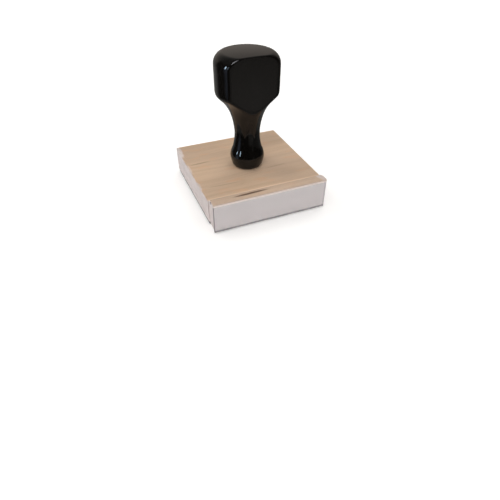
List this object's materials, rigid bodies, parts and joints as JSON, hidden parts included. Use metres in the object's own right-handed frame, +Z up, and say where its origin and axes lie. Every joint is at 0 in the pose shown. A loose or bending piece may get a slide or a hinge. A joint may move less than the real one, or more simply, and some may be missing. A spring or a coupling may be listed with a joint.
{
  "type": "hand stamp",
  "caption": "Traditional wood-mounted rubber hand stamp with a turned black handle, white-painted sides, front index card, foam cushion and rubber die.",
  "frame": {"origin": "centre of the bounding box's base, on the printing plane that the raised rubber stands on", "axes": "+Z up along the handle, -Y to the front with the index card, +X to the right of a person facing the front"},
  "size_m": [0.0766, 0.081, 0.0898],
  "materials": {
    "black_plastic": "black, high gloss",
    "brass": "bare brass, knurled",
    "zinc_steel": "zinc-plated",
    "maple_block": "bare maple top, sides painted matte white",
    "maple_rail": "bare maple top, ends painted matte white",
    "white_card": "smooth white card",
    "clear_film": "clear, gloss",
    "adhesive_film": "translucent double-sided adhesive film",
    "white_foam": "fine-celled white foam, matte",
    "die_rubber": "dark grey engraved rubber, matte"
  },
  "bodies": {
    "mount": {"mount_block": "maple_block", "front_rail": "maple_rail", "index_card": "white_card", "index_cover_film": "clear_film", "mount_film": "adhesive_film", "foam_cushion": "white_foam", "hanger_bolt": "zinc_steel"},
    "insert": {"handle_insert": "brass"},
    "handle": {"handle": "black_plastic"},
    "die": {"rubber_die": "die_rubber", "die_film": "adhesive_film"}
  },
  "joints": [
    {"name": "handle_lift", "type": "slide", "parent": "mount", "child": "insert", "axis": [0, 0, 1], "range_m": [0, 0.0116]},
    {"name": "handle_turn", "type": "hinge", "parent": "insert", "child": "handle", "pos_m": [0.0006, 0.002, 0.0188], "axis": [0, 0, 1], "range_deg": [0, 3288]},
    {"name": "cushion_squeeze", "type": "slide", "parent": "mount", "child": "die", "axis": [0, 0, 1], "range_m": [0, 0.0006], "stiffness_N_per_m": 100000, "deforming": ["foam_cushion"]}
  ],
  "couplings": [
    {"joint": "handle_lift", "follows": "handle_turn", "m_per_rad": 0.00020213}
  ]
}
